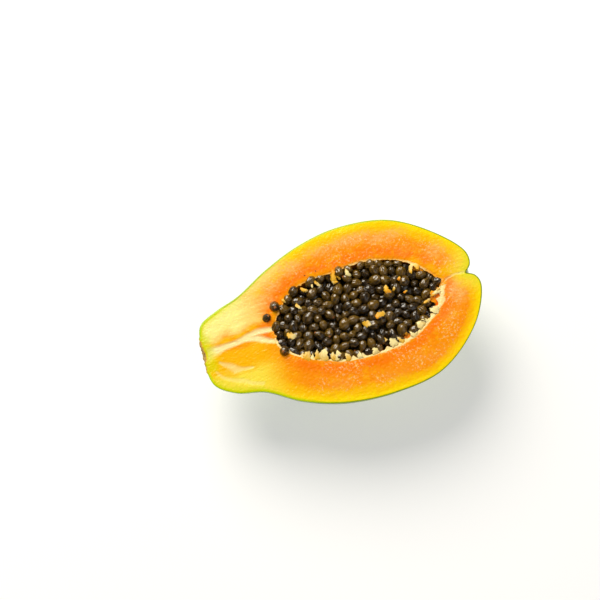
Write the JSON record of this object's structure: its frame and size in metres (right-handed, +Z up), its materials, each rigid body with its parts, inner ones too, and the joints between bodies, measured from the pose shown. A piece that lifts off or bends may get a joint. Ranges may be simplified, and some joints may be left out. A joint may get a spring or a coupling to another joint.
{
  "type": "papaya half",
  "caption": "Ripe papaya half cut lengthwise, lying on its green skin with the orange cut face up and the cavity full of dark seeds.",
  "frame": {"origin": "on the surface the half lies on, under the middle of its box", "axes": "+X from the stem scar to the blossom end, +Z up out of the cut face, +Y towards the narrower side of the cut face"},
  "size_m": [0.1646, 0.1022, 0.0503],
  "materials": {
    "flesh": "moist satin",
    "seeds": "wet gloss"
  },
  "bodies": {
    "root": {"fruit_half": "flesh", "seed_mass": "seeds"}
  },
  "joints": []
}
